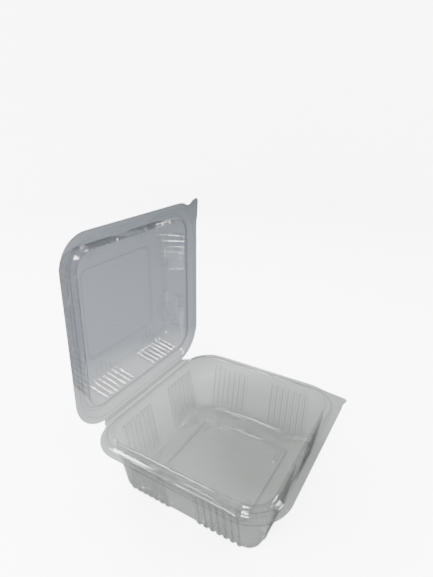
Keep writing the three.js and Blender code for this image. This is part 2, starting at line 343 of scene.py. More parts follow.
@dataclass(frozen=True)
class Grooves:
    """Two groups of stiffening grooves on every wall, running over the edge on to the bottom.

    Attributes:
        floor_depth: How far a groove stands out of the bottom.
        top: Depth below the flange at which the grooves start.
        depth: How far a groove stands out of the wall.
        per_group: Grooves in a group.
        first: From the middle of the wall to the first groove of a group.
        pitch: From groove to groove.
        half_width: Half the width of one groove.
        side: Share of half_width over which the groove's side rises.
        longest: Inset at which the middle groove of a group ends.
        shortening: Each next groove ends this much earlier.
        turn_height: Height above the bottom at which depth starts to turn into floor_depth.
        turn_reach: How much further down it is floor_depth.
        plain_steps: Pieces from the middle of the wall to the first groove.
        margin: Room that the points keep beside a group of grooves.
    """

    floor_depth: float
    top: float
    depth: float = 1.4
    per_group: int = 7
    first: float = 13.3
    pitch: float = 5.04
    half_width: float = 1.75
    side: float = 0.45
    longest: float = 31.0
    shortening: float = 2.9
    turn_height: float = 8.0
    turn_reach: float = 7.0
    plain_steps: int = 4
    margin: float = 0.4

    def centres(self) -> Array:
        """Places of the grooves of one group along the wall, from its middle."""
        return self.first + self.pitch * np.arange(self.per_group)

    def ends(self) -> Array:
        """Inset at which each groove of a group ends: the middle one reaches furthest in."""
        middle = (self.per_group - 1) / 2
        return self.longest - self.shortening * np.abs(np.arange(self.per_group) - middle)

    def stations(self) -> Array:
        """Places along one wall at which the grid has a point.

        Each side of a groove has a point at its foot, half-way up and at its top. Another
        point stands close beside the foot and the top, so that the flats between the grooves
        and on them are shaded flat. There is one more on the ridge beside the groove.

        Returns:
            Distances from the middle of the wall, growing, the same on both sides of it.
        """
        foot = -1.0
        top = foot + self.side
        steps = [foot - self.side / 3, foot, foot + self.side / 2, top, foot + self.side * 4 / 3]
        across = np.array(steps) * self.half_width
        groove = np.concatenate([[-self.pitch / 2], across, -across[::-1]])
        group = (self.centres()[:, None] + groove[None, :]).ravel()
        plain = np.linspace(0.0, group[0], self.plain_steps + 1)[1:-1]
        half = np.concatenate([plain, group])
        return np.concatenate([-half[::-1], [0.0], half])

    def kept_straight(self, inset: Array) -> Array:
        """How far from the middle of a wall the points stay in line with the grooves.

        Args:
            inset: Inset of each row.

        Returns:
            For each row a distance beyond the last groove that reaches so far in.
        """
        ends = self.ends()[self.per_group // 2 :]
        edges = self.centres()[self.per_group // 2 :] + self.half_width + self.margin
        return np.interp(inset, ends[::-1], edges[::-1], left=math.inf, right=edges[0])

    def relief(self, section: Section, along: Array, path: Array, depth: Array) -> Array:
        """How far each point of a wall is pushed out.

        A groove is a long slot with round ends, laid along the section. Its sides rise
        smoothly over a share of half_width, and its middle is flat.

        Args:
            section: The section that the grooves run along.
            along: Place of each point along the wall.
            path: Distance of each point along the sheet.
            depth: Depth of each point below the flange.

        Returns:
            The push of each point, out of the cavity.
        """
        height = np.zeros_like(along)
        start = section.path_at_depth(self.top) + self.half_width
        for centre, end in zip(self.centres(), self.ends()):
            finish = section.path_at(end) - self.half_width
            beyond = np.maximum(np.maximum(start - path, path - finish), 0.0)
            away = np.hypot(np.abs(along) - centre, beyond) / self.half_width
            height = np.maximum(height, smooth_step((1.0 - away) / self.side))
        bottom = smooth_step((depth - depth.max() + self.turn_height) / self.turn_reach)
        return height * (self.depth + (self.floor_depth - self.depth) * bottom)


@dataclass(frozen=True)
class Brackets:
    """Raised L-shaped marks in the corners of the middle panel.

    Attributes:
        corner: Outer corner of a mark, from the middle of the panel.
        arm: Length of each arm.
        half_width: Half the width of an arm.
        height: How far a mark stands up.
        slope: Width of the slope at its edge.
    """

    corner: tuple[float, float]
    arm: float
    half_width: float
    height: float
    slope: float = 0.9

    def relief(self, x: Array, y: Array) -> Array:
        """Height at each point of the panel: two round-ended bars that meet at a corner."""
        elbow_x = self.corner[0] - self.half_width
        elbow_y = self.corner[1] - self.half_width
        reach = self.arm - 2 * self.half_width
        u = elbow_x - np.abs(x)
        v = elbow_y - np.abs(y)
        first = np.hypot(u - np.clip(u, 0.0, reach), v)
        second = np.hypot(u, v - np.clip(v, 0.0, reach))
        edge = (self.half_width - np.minimum(first, second)) / self.slope
        return self.height * smooth_step(edge)


class Side(Enum):
    """The four walls in the order in which the grid goes round, by where they face."""

    RIGHT = (1, 0)
    FOLD = (0, 1)
    LEFT = (-1, 0)
    FRONT = (0, -1)

    @property
    def out(self) -> Array:
        """Direction out of the container, in plan."""
        return np.array(self.value, float)

    @property
    def before(self) -> Side:
        """The wall before this one on the way round."""
        sides = list(Side)
        return sides[sides.index(self) - 1]


@dataclass(frozen=True)
class Run:
    """Columns of the grid on one wall, or round the corner before that wall.

    Attributes:
        side: The wall.
        is_corner: True for the corner before it.
        values: Place of each column along the wall from its middle, or its angle round the
            corner.
        columns: Where the run lies in a row of the grid.
    """

    side: Side
    is_corner: bool
    values: Array
    columns: slice


def arc_points(centre: tuple[float, float], radius: float, start: float, end: float, steps: int) -> Array:
    """Points on an arc, its angles in degrees."""
    turn = np.radians(np.linspace(start, end, steps + 1))
    return np.stack([centre[0] + radius * np.cos(turn), centre[1] + radius * np.sin(turn)], axis=1)


def follow_outline(outline: Array, x: Array, y: Array, hub: Array) -> tuple[Array, Array]:
    """Moves points of the trimmed corner out or in to another outline, each along its own ray.

    Args:
        outline: Corners of the new outline, in order of angle about the hub.
        x: Places of the points on the rounded corner.
        y: The same, across.
        hub: Middle of the corner's arc.

    Returns:
        The new places.
    """
    toward = math.atan2(hub[1], hub[0])

    def angle(px: Array, py: Array) -> Array:
        """Angle from the line that runs from the container's middle through the hub."""
        full = np.arctan2(py - hub[1], px - hub[0]) - toward
        return (full + np.pi) % (2 * np.pi) - np.pi

    known = angle(outline[:, 0], outline[:, 1])
    order = np.argsort(known)
    wanted = angle(x, y)
    return (
        np.interp(wanted, known[order], outline[order, 0]),
        np.interp(wanted, known[order], outline[order, 1]),
    )


@dataclass
class FormedSheet:
    """One formed half of the container.

    Attributes:
        width: Trimmed edge to trimmed edge along the fold.
        length: Trimmed edge to trimmed edge from fold to front.
        thickness: Thickness of the sheet.
        section: Its section.
        grooves: The grooves of its walls.
        outlines: Outline of the trimmed edge at each corner that isn't plainly round, by the
            side that comes before that corner.
        flange: Inset at which the flat flange ends.
        panel_rows: Distances in from the panel's edge at which there is a row.
        brackets: Marks on the middle panel, if it has any.
        corner_steps: Pieces that a plainly round corner is divided into.
        outline_detail: How many times as many pieces a corner with an outline has.
        corner_gap: From the last point of a wall to the corner's first one, before they are
            drawn together.
        least_radius: Smallest corner radius of a row.
        groove_side_shade: Painted shade of a groove's side that rises at 45 degrees, counted as a crease.
        least_step: Shortest step along a wall that a groove's rise is spread over.
        stacked: Wall that the photograph looks along, if any. Its grooves lie behind one
            another there and stay bright, so their creases are faint.
        stacked_share: Share of the groove sides' painted shade that is left on that wall.
    """

    width: float
    length: float
    thickness: float
    section: Section
    grooves: Grooves
    outlines: dict[Side, Array]
    flange: float
    panel_rows: Array
    brackets: Brackets | None = None
    corner_steps: int = 16
    outline_detail: int = 3
    corner_gap: float = 1.2
    least_radius: float = 0.3
    groove_side_shade: float = 0.3
    least_step: float = 0.15
    stacked: Side | None = None
    stacked_share: float = 0.1

    def _half(self) -> Array:
        """Half the width and half the length."""
        return np.array([self.width, self.length]) / 2

    def _runs(self) -> list[Run]:
        """The corners and walls in the order in which the grid goes round."""
        runs: list[Run] = []
        start = 0
        for side in Side:
            detail = self.outline_detail if side.before in self.outlines else 1
            corner = np.linspace(0.0, np.pi / 2, self.corner_steps * detail + 1)
            for is_corner, values in ((True, corner), (False, self.grooves.stations())):
                runs.append(Run(side, is_corner, values, slice(start, start + len(values))))
                start += len(values)
        return runs

    def _outlined(self) -> list[Run]:
        """The corners that have an outline of their own."""
        return [run for run in self._runs() if run.is_corner and run.side.before in self.outlines]

    def _ring(self, inset: Array, corner: Array, push: Array) -> tuple[Array, Array, Array, Array]:
        """Places of all rows of points, pushed out of the cavity in plan.

        A corner point lies on an arc about the corner's middle. A wall point lies on the
        straight between two corners. Where that straight is shorter than the groove groups,
        the points beyond the last groove draw together in proportion.

        Args:
            inset: Inset of each row.
            corner: Corner radius of each row.
            push: Push in plan of each row, out of the cavity.

        Returns:
            x, y, place along the wall, and a 1 for wall points and 0 for corner points.
        """
        runs = self._runs()
        shape = (len(inset), runs[-1].columns.stop)
        place, along, wall = np.zeros((*shape, 2)), np.zeros(shape), np.zeros(shape)
        inner = (inset - push)[:, None]
        radius = np.maximum(corner + push, self.least_radius)[:, None]
        straight_to = self.grooves.kept_straight(inset)[:, None]
        for run in runs:
            out, back = run.side.out, run.side.before.out
            reach = np.abs(out) @ self._half() - inner
            other = np.abs(back) @ self._half() - inner
            if run.is_corner:
                along_out = reach - radius + radius * np.sin(run.values)
                along_back = other - radius + radius * np.cos(run.values)
                place[:, run.columns] = along_out[..., None] * out + along_back[..., None] * back
                continue
            straight = other - radius
            size = np.abs(run.values)
            kept = np.minimum(straight_to, straight - self.grooves.margin)
            kept = np.minimum(kept, size.max() - self.grooves.margin)
            share = (straight - kept) / (size.max() + self.corner_gap - kept)
            drawn = np.where(size > kept, kept + (size - kept) * share, size)
            along[:, run.columns] = np.sign(run.values) * drawn
            place[:, run.columns] = reach[..., None] * out - along[:, run.columns, None] * back
            wall[:, run.columns] = 1.0
        return place[..., 0], place[..., 1], along, wall

    def _outward(self) -> Array:
        """Direction out of each column's wall in plan, turning through the corners."""
        parts: list[Array] = []
        for run in self._runs():
            if run.is_corner:
                turn = run.values[:, None]
                parts.append(np.sin(turn) * run.side.out + np.cos(turn) * run.side.before.out)
            else:
                parts.append(np.repeat(run.side.out[None, :], len(run.values), axis=0))
        return np.concatenate(parts)

    def face(self, lift: float) -> tuple[Array, Array, Array]:
        """One face of the sheet, or the surface between its two faces.

        Each row is a rounded square. It is moved along the section's normal by lift, and at a
        groove by the groove's height as well.

        Args:
            lift: 0 for the face inside the cavity, the thickness for the other one.

        Returns:
            The points as rows by columns by x, y and depth, the point in the middle, and how
            sharply the sheet is creased at each point, which the material paints as shade: by its
            section, or by a groove's side.
        """
        section = self.section
        out_share = -section.normal[:, :1]
        x, y, along, wall = self._ring(section.inset, section.corner, out_share[:, 0] * lift)
        columns = x.shape[1]
        depth = np.repeat((section.depth + section.normal[:, 1] * lift)[:, None], columns, axis=1)
        path = np.repeat(section.path[:, None], columns, axis=1)
        flat = np.repeat(section.depth[:, None], columns, axis=1)
        groove = self.grooves.relief(section, along, path, flat) * wall
        out = self._outward()
        x = x + groove * out_share * out[:, 0]
        y = y + groove * out_share * out[:, 1]
        depth = depth + groove * section.normal[:, 1:]
        x, y = self._trim(x, y)
        # Painted shade: a groove's sides count as creases, and the material darkens them.
        steps = np.maximum(np.abs(np.gradient(along, axis=1)), self.least_step)
        across = np.gradient(groove, axis=1) / steps
        down = np.gradient(groove, section.path, axis=0)
        strength = np.full(columns, self.groove_side_shade)
        for run in self._runs():
            if run.side is self.stacked and not run.is_corner:
                strength[run.columns] *= self.stacked_share
        sides = np.clip(strength * np.hypot(across, down), 0.0, 1.0)
        grid, middle, marks = self._close(x, y, depth)
        return grid, middle, np.concatenate([np.maximum(section.crease[:, None], sides), marks])

    def _trim(self, x: Array, y: Array) -> tuple[Array, Array]:
        """Draws the flat flange out to the tabs and in to the notches of the trimmed edge."""
        rows = np.nonzero(self.section.inset <= self.flange + 1e-6)[0]
        foot = rows[-1]
        share = 1.0 - self.section.inset[rows] / self.section.inset[foot]
        for run in self._outlined():
            before, columns = run.side.before, run.columns
            hub = (before.out + run.side.out) * (self._half() - self.section.corner[0])
            edge = follow_outline(self.outlines[before], x[0, columns], y[0, columns], hub)
            for places, wanted in zip((x, y), edge):
                feet = places[foot, columns]
                places[rows, columns] = feet + (wanted - feet) * share[:, None]
        return x, y

    def _close(self, x: Array, y: Array, depth: Array) -> tuple[Array, Array, Array]:
        """Adds the middle panel: its rows are the last ring drawn in towards the middle.

        Args:
            x: Places of the rows outside the panel.
            y: The same, across.
            depth: Their depths.

        Returns:
            All rows by columns by x, y and depth, the point in the middle, and the crease of
            the panel's points, painted as shade by the material, which is highest half-way up the
            sides of its marks.
        """
        share = (1.0 - self.panel_rows / np.abs(y[-1]).max())[:, None]
        panel_x, panel_y = x[-1] * share, y[-1] * share
        panel_depth = np.repeat(depth[-1:], len(share), axis=0)
        marks = np.zeros_like(panel_depth)
        if self.brackets is not None:
            lifted = self.brackets.relief(panel_x, panel_y)
            panel_depth = panel_depth - lifted
            marks = 1.0 - np.abs(2.0 * lifted / self.brackets.height - 1.0)
        pairs = ((x, panel_x), (y, panel_y), (depth, panel_depth))
        grid = np.stack([np.concatenate(pair) for pair in pairs], axis=-1)
        return grid, np.array([0.0, 0.0, depth[-1].mean()]), marks

    def build(self, name: str, place: Callable[[Array], Array], flip: bool) -> bpy.types.Object:
        """Makes the sheet as one surface half-way through it, and the band of its cut edge.

        One surface in place of two keeps the number of see-through layers that a line of
        sight crosses to the number of sheets that it really crosses.

        Args:
            name: Name of the piece.
            place: Turns x, y and depth in millimetres into places in the frame, in metres.
            flip: True if place turns the sheet inside out.

        Returns:
            The piece, with room for the materials of the sheet and of its cut edge.
        """
        grid, middle, crease = self.face(self.thickness / 2)
        upper = self.face(0.0)[0][0]
        lower = self.face(self.thickness)[0][0]
        rows, columns = grid.shape[:2]
        count = rows * columns
        points = np.concatenate([grid.reshape(-1, 3), upper, lower, middle[None]])
        band = grid_faces(2, columns)[:, ::-1] + count
        fans = fan_faces((rows - 1) * columns, columns, count + 2 * columns)
        quads = np.concatenate([grid_faces(rows, columns), band])
        if flip:
            quads = quads[:, ::-1]
            fans = fans[:, ::-1]
        rest = np.zeros(2 * columns + 1)
        values = {
            # The crease, which the material paints as shade.
            CREASE_SHADE: np.concatenate([crease.ravel(), rest]),
            GRIP: np.concatenate([self._grip(rows, columns).ravel(), rest]),
        }
        made = mesh_object(name, place(points), quads, fans, values)
        in_band = np.zeros(len(quads) + len(fans), np.int32)
        in_band[len(quads) - columns : len(quads)] = 1
        made.data.materials.append(None)
        made.data.materials.append(None)
        made.data.polygons.foreach_set("material_index", in_band)
        return made

    def _grip(self, rows: int, columns: int) -> Array:
        """Marks the flat of the opening tab, where the mould leaves a cross-hatched grip.

        Args:
            rows: Rows of points of the sheet.
            columns: Points in a row.

        Returns:
            1 for each point on the tab and 0 elsewhere, rising smoothly in between.
        """
        # Shares of the way round the corner, and a share of the flange's width.
        first, last, fade, flat_share = 0.12, 0.85, 0.1, 0.75
        marked = np.zeros((rows, columns))
        flat = np.count_nonzero(self.section.inset <= self.flange * flat_share)
        for run in self._outlined():
            if run.side.before is Side.FRONT:
                share = np.linspace(0.0, 1.0, len(run.values))
                within = smooth_step((share - first) / fade) * smooth_step((last - share) / fade)
                marked[:flat, run.columns] = within
        return marked


# ---- Finishes ----


@dataclass(frozen=True)
class ThermoformedPet:
    """Clear PET, vacuum formed: a glossy sheet, almost all see-through.

    It turns smoky where it is seen edge-on. Its creases carry painted shade, more of its dark
    smoke, for the light that a bent sheet throws aside. Both of its faces reflect, so the one
    surface that stands for them has twice a single face's specular level, and a coat. The slight
    waviness of a sheet drawn over a cold mould breaks up its reflections, and the tabs carry a
    fine cross-hatched grip.

    Attributes:
        name: Name of the material.
        colour: sRGB hex colour of the sheet's own smoke.
        square_on: Alpha of the sheet seen square-on.
        edge_on: Alpha of the sheet seen edge-on.
        edge_blend: How far the edge-on alpha spreads towards the square-on one.
        crease_shade: Alpha of the painted shade that a sharp crease adds.
        roughness: Roughness of its surface; a moulded film is nearly a mirror.
        coat_roughness: Roughness of the coat, which draws the sharper highlights.
        wave_mm: Distance from crest to crest of the waviness.
        wave_bump: Strength of the waviness, and its height in metres.
        grip_turn: Turn of the grip's pattern, in degrees about X, Y and Z, so that its lines
            run diagonally over the flat of the tab.
        grip_pitch_mm: Distance between the lines of the grip, drawn coarser than the real
            half millimetre, so that it shows.
        grip_bump: Strength of the grip, and its height in metres.
    """

    name: str
    colour: str
    square_on: float = 0.11
    edge_on: float = 0.45
    edge_blend: float = 0.1
    crease_shade: float = 0.5
    roughness: float = 0.04
    coat_roughness: float = 0.02
    wave_mm: float = 14.0
    wave_bump: tuple[float, float] = (0.04, 0.0001)
    grip_turn: tuple[float, float, float] = (0.0, 0.0, 45.0)
    grip_pitch_mm: float = 1.5
    grip_bump: tuple[float, float] = (0.8, 0.0003)

    def material(self) -> bpy.types.Material:
        """Builds the node material.

        Returns:
            The material.
        """
        made, tree, place = start_material(self.name)
        grip = self._grip(tree, place)
        end_material(
            tree,
            {
                "Base Color": linear_colour(self.colour),
                "Roughness": self.roughness,
                "IOR": PET_IOR,
                "Specular IOR Level": 1.0,
                "Coat Weight": 1.0,
                "Coat IOR": PET_IOR,
                "Coat Roughness": self.coat_roughness,
            },
            {"Normal": self._relief(tree, place, grip), "Alpha": self._smoke_and_crease_shade(tree, grip)},
        )
        return made

    def _grip(self, tree: Tree, place: Socket) -> Socket:
        """Draws the grip: two sets of crossing bands, kept to the tabs by an attribute.

        Args:
            tree: The material's node tree.
            place: Object coordinates.

        Returns:
            The height of the grip, from 0 to 1.
        """
        turn = tuple(math.radians(a) for a in self.grip_turn)
        turned = add_node(tree, "ShaderNodeMapping", {"Rotation": turn}, {"Vector": place})
        scale = 2 * math.pi / (WAVE_TURN * self.grip_pitch_mm * MM)
        bands: list[Socket] = []
        for direction in ("X", "Y"):
            settings = {"Scale": scale, "bands_direction": direction}
            wave = add_node(tree, "ShaderNodeTexWave", settings, {"Vector": turned.outputs["Vector"]})
            bands.append(wave.outputs["Fac"])
        mask = add_node(tree, "ShaderNodeAttribute", {"attribute_name": GRIP})
        return combined(tree, "MULTIPLY", combined(tree, "MULTIPLY", *bands), mask.outputs["Fac"])

    def _smoke_and_crease_shade(self, tree: Tree, grip: Socket) -> Socket:
        """How much of the smoke shows: more edge-on, with painted shade in a crease, and on the grip.

        Args:
            tree: The material's node tree.
            grip: Height of the grip.

        Returns:
            The alpha.
        """
        facing = add_node(tree, "ShaderNodeLayerWeight", {"Blend": self.edge_blend})
        lying = rescaled(tree, facing.outputs["Facing"], self.square_on, self.edge_on)
        crease = add_node(tree, "ShaderNodeAttribute", {"attribute_name": CREASE_SHADE})
        marks = combined(tree, "MAXIMUM", crease.outputs["Fac"], grip)
        # A crease adds alpha of the dark smoke as painted shade; the grip adds it as well.
        return combined(tree, "ADD", lying, rescaled(tree, marks, 0.0, self.crease_shade))

    def _relief(self, tree: Tree, place: Socket, grip: Socket) -> Socket:
        """Bumps the waviness of the sheet and the grip's crossing lines.

        Args:
            tree: The material's node tree.
            place: Object coordinates.
            grip: Height of the grip.

        Returns:
            The normal.
        """
        waves = add_node(
            tree,
            "ShaderNodeTexNoise",
            {"Scale": 1.0 / (self.wave_mm * MM), "Detail": 1.0, "Roughness": 0.4},
            {"Vector": place},
        )
        below: dict[str | int, Socket] = {}
        for height, (strength, rise) in ((waves.outputs["Fac"], self.wave_bump), (grip, self.grip_bump)):
            settings = {"Strength": strength, "Distance": rise}
            bump = add_node(tree, "ShaderNodeBump", settings, {"Height": height, **below})
            below = {"Normal": bump.outputs["Normal"]}
        return below["Normal"]


@dataclass(frozen=True)
class TrimmedEdge:
    """The cut edge of the sheet: light that runs inside the sheet is lost there, so a clear
    sheet shows a thin dark line all round.

    Attributes:
        name: Name of the material.
        colour: sRGB hex colour of the line.
        alpha: Alpha of the line.
        streak_mm: Distance between the streaks of the cut.
        roughness: Lowest and highest roughness of the streaks.
    """

    name: str
    colour: str
    alpha: float = 0.85
    streak_mm: float = 2.5
    roughness: tuple[float, float] = (0.2, 0.5)

    def material(self) -> bpy.types.Material:
        """Builds the node material: a die cut leaves fine streaks along the edge.

        Returns:
            The material.
        """
        made, tree, place = start_material(self.name)
        scale = {"Scale": 1.0 / (self.streak_mm * MM)}
        streaks = add_node(tree, "ShaderNodeTexNoise", scale, {"Vector": place})
        end_material(
            tree,
            {"Base Color": linear_colour(self.colour), "IOR": PET_IOR, "Alpha": self.alpha},
            {"Roughness": rescaled(tree, streaks.outputs["Fac"], *self.roughness)},
        )
        return made


@dataclass(frozen=True)
class BackdropPaper:
    """Matt white backdrop paper: an even pale ground with hardly any sheen.

    Seen through the clear sheet the paper is grey, the grey of the ground behind the container,
    where only the ground beside it is white: painted shadow makes it a middle grey under the
    tub, painted light makes it lighter round it, and it is bluish further off.

    Attributes:
        name: Name of the material.
        colour: sRGB hex colour of the paper.
        ground_and_painted_light: Distance from the middle in metres, and sRGB hex colour of the
        paper there where a clear sheet is in front of it: the grey of the ground, with painted
        shadow under the tub and painted light round it.
        middle: Place of that middle on the ground, in metres.
        roughness: Roughness of the paper.
        specular: Specular level of the paper, a fifth of a smooth surface's.
    """

    name: str
    colour: str
    ground_and_painted_light: tuple[tuple[float, str], ...]
    middle: tuple[float, float] = (0.03, -0.03)
    roughness: float = 0.9
    specular: float = 0.1

    def material(self) -> bpy.types.Material:
        """Builds the node material.

        Returns:
            The material.
        """
        made, tree, place = start_material(self.name)
        settings = {"operation": "DISTANCE", 1: (*self.middle, 0.0)}
        distance = add_node(tree, "ShaderNodeVectorMath", settings, {0: place})
        # A ramp of painted shadow and painted light, by distance from the middle.
        behind = add_node(tree, "ShaderNodeValToRGB", None, {"Fac": distance.outputs["Value"]})
        stops = behind.color_ramp.elements
        while len(stops) < len(self.ground_and_painted_light):
            stops.new(0.5)
        for stop, (metres, colour) in zip(stops, self.ground_and_painted_light):
            stop.position = metres
            stop.color = linear_colour(colour)
        # Painted shadow and painted light: where a line of sight has passed a clear sheet, the paper takes
        # the ramp's grey, darker under the tub and lighter round it.
        sheets = add_node(tree, "ShaderNodeLightPath").outputs["Transparent Depth"]
        shade = add_node(
            tree,
            "ShaderNodeMix",
            {"data_type": "RGBA", "clamp_factor": True, MIX_FIRST: linear_colour(self.colour)},
            {MIX_FACTOR: sheets, MIX_SECOND: behind.outputs["Color"]},
        )
        end_material(
            tree,
            {"Roughness": self.roughness, "Specular IOR Level": self.specular},
            {"Base Color": shade.outputs[MIX_RESULT]},
        )
        return made


# ---- The container ----


@dataclass
class Half:
    """What both halves share: the outline that their sheet is trimmed to.

    Attributes:
        width: Trimmed edge to trimmed edge along the fold.
        length: Trimmed edge to trimmed edge from fold to front.
        trim_radius: Corner radius of the trimmed edge.
        tip_radius: Radius of the opening tab's tip.
        thickness: Thickness of the sheet.
    """

    width: float = 150.0
    length: float = 147.0
    trim_radius: float = 28.5
    tip_radius: float = 3.2
    thickness: float = 0.4


@dataclass
class Tub(Half):
    """The deep lower half, standing on the lowered square of its floor.

    Attributes:
        floor: Depth of the floor below the flange.
        panel: Depth of the lowered square.
        flange_height: Height of the flange above the ground.
        notch_radius: Corner radius at the fold, where the corner is cut back.
        notch_depth: How far it is cut back from the fold.
        web_half: Half the width of the strip that runs to the fold.
    """

    floor: float = 44.0
    panel: float = 45.0
    flange_height: float = 45.5
    notch_radius: float = 24.5
    notch_depth: float = 4.1
    web_half: float = 52.5

    def _section(self) -> Section:
        """Flange, stepped bead, wall, floor and the step to the middle panel.

        Returns:
            The section, whose depths grow downwards from the flange.
        """
        return Section(
            [
                Bend(0.0, 0.0, self.trim_radius, 0.0, 1.6),
                Bend(4.9, 0.0, 23.6, 0.5),
                Bend(6.2, -1.5, 22.2, 0.45),
                Bend(7.0, -1.62, 21.4, 0.4),
                Bend(9.2, -3.6, 19.3, 0.6),
                Bend(10.9, -3.8, 17.8, 0.55),
                Bend(12.1, 3.6, 16.4, 0.6, 1.0),
                Bend(12.5, 7.0, 15.6, 0.0, 8.0),
                Bend(18.7, self.floor, 9.4, 3.2, 0.75),
                Bend(31.5, self.floor, 6.0, 0.0),
                Bend(34.8, self.floor, 5.6, 0.4),
                Bend(35.8, self.panel, 4.8, 0.4),
                Bend(36.6, self.panel, 4.4, 0.0),
            ]
        )

    def _tab(self) -> Array:
        """Outline of the opening tab, which nearly squares the front right corner.

        Returns:
            Corners of the outline, from the side edge round the tip to the front edge.
        """
        right = self.width / 2
        front = -self.length / 2
        radius = self.tip_radius
        tip = (right - 4.6 - radius, front - 0.9 + radius)
        return np.concatenate(
            [
                [[right, front + self.trim_radius], [right - 0.9, front + 24.4], [right - 2.3, front + 19.8]],
                arc_points(tip, radius, 0.0, -90.0, 8),
                [[right - 11.0, front - 0.3], [right - 12.8, front + 0.5], [right - 15.0, front + 0.3]],
                [[right - 20.0, front], [right - self.trim_radius, front]],
            ]
        )

    def _notch(self, sign: int) -> Array:
        """Outline of a back corner, cut back beside the strip that runs to the fold.

        Args:
            sign: 1 at the right end of the fold, -1 at the left end.

        Returns:
            Corners of the outline, from the side edge to the fold.
        """
        right = self.width / 2
        back = self.length / 2
        hub = (right - self.notch_radius, back - self.notch_depth - self.notch_radius)
        arc = arc_points(hub, self.notch_radius, 0.0, 80.0, 16)
        web = [[self.web_half + 2.8, back - 3.7], [self.web_half, back - 0.2], [self.web_half - 0.6, back]]
        points = np.concatenate([arc, web, [[right - self.trim_radius, back]]])
        return points * np.array([sign, 1.0])

    def build(self) -> bpy.types.Object:
        """Makes the tub's shell and lets it ride on the base.

        Returns:
            The piece.
        """
        sheet = FormedSheet(
            width=self.width,
            length=self.length,
            thickness=self.thickness,
            section=self._section(),
            grooves=Grooves(floor_depth=1.0, top=3.4),
            outlines={
                Side.FRONT: self._tab(),
                Side.RIGHT: self._notch(1),
                Side.FOLD: self._notch(-1),
            },
            brackets=Brackets(corner=(37.2, 35.2), arm=16.0, half_width=1.8, height=0.6),
            stacked=Side.FRONT,
            flange=4.4,
            panel_rows=np.concatenate([np.arange(0.4, 6.0, 0.4), np.arange(6.0, 21.0, 0.75), [24.0, 30.0]]),
        )

        def place(points: Array) -> Array:
            """Stands the tub on the ground."""
            height = self.flange_height - points[:, 2]
            return np.stack([points[:, 0], points[:, 1], height], axis=1) * MM

        shell = sheet.build("tub_shell", place, flip=False)
        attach(shell, "base")
        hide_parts("tub")
        LOG.info("tub_shell: %d faces", len(shell.data.polygons))
        return shell

    def dress(self, shell: bpy.types.Object) -> None:
        """Gives the shell its clear sheet, faintly green, and its cut edge."""
        shell.data.materials[0] = ThermoformedPet("thermoformed_PET_tub", "161917").material()
        shell.data.materials[1] = TrimmedEdge("die_cut_PET_tub", "0c0e0d").material()


